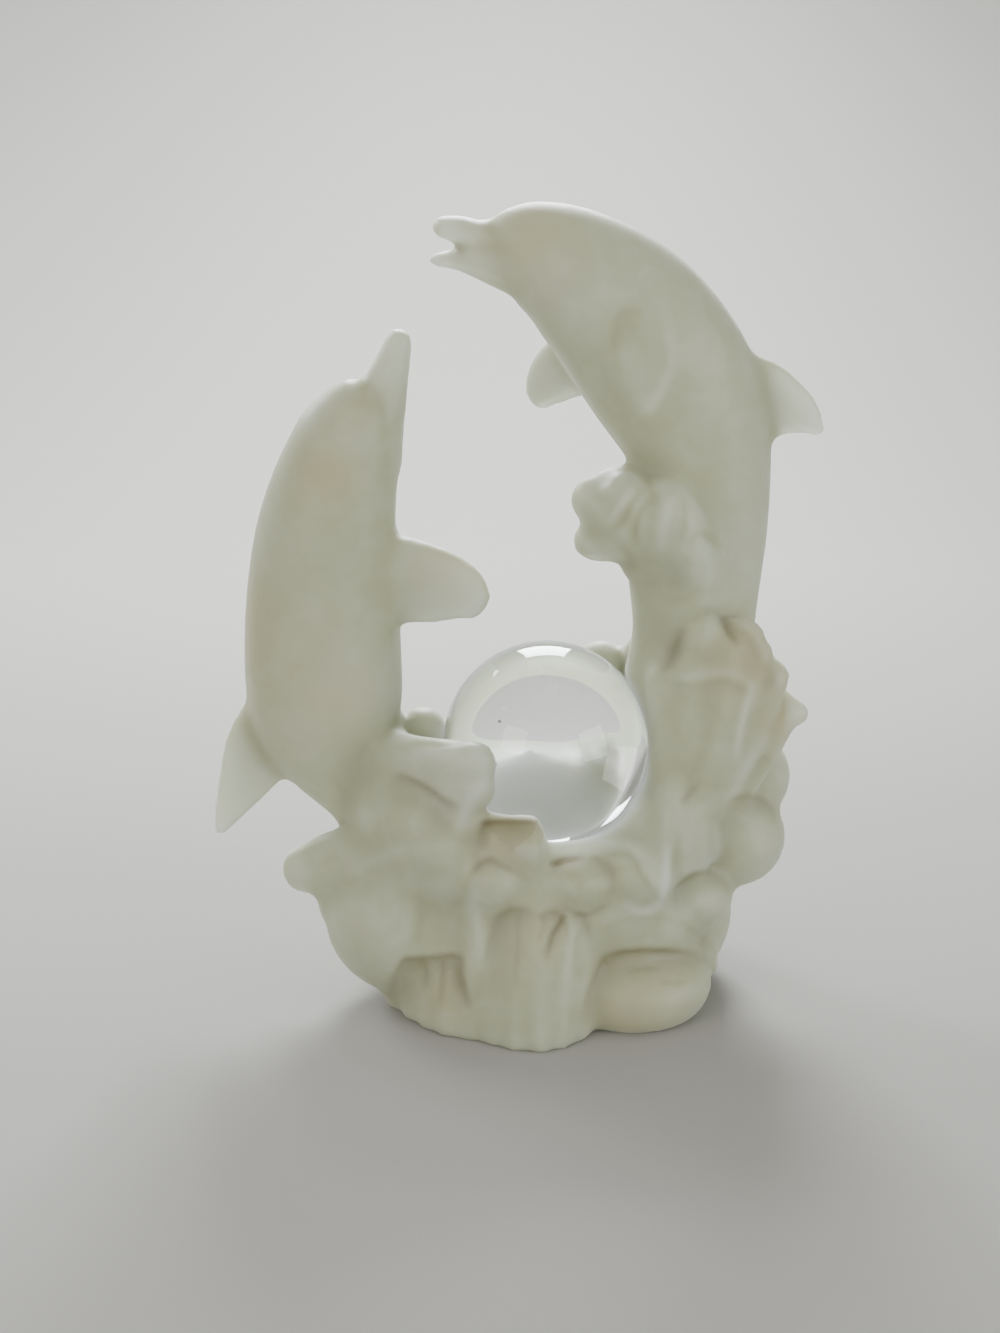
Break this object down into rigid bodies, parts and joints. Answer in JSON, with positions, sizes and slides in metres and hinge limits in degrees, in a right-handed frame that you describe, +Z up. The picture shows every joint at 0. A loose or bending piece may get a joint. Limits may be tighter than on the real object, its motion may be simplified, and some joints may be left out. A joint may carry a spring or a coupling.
{
  "type": "frosted glass dolphin figurine",
  "caption": "Frosted glass figurine: an upright dolphin and an arching dolphin leap from carved waves that cradle a clear glass ball.",
  "frame": {"origin": "on the floor, at the middle of the flat underside", "axes": "+X to the viewer's right as the figurine faces in the picture, +Y away from the viewer, +Z up"},
  "size_m": [0.1037, 0.0603, 0.1365],
  "materials": {
    "frosted_glass": "cast glass, etched to an even satin frost all over, milky and warm grey-green",
    "clear_glass": "clear colourless glass, polished"
  },
  "bodies": {
    "root": {"dolphins_and_waves": "frosted_glass", "glass_ball": "clear_glass"}
  },
  "joints": []
}
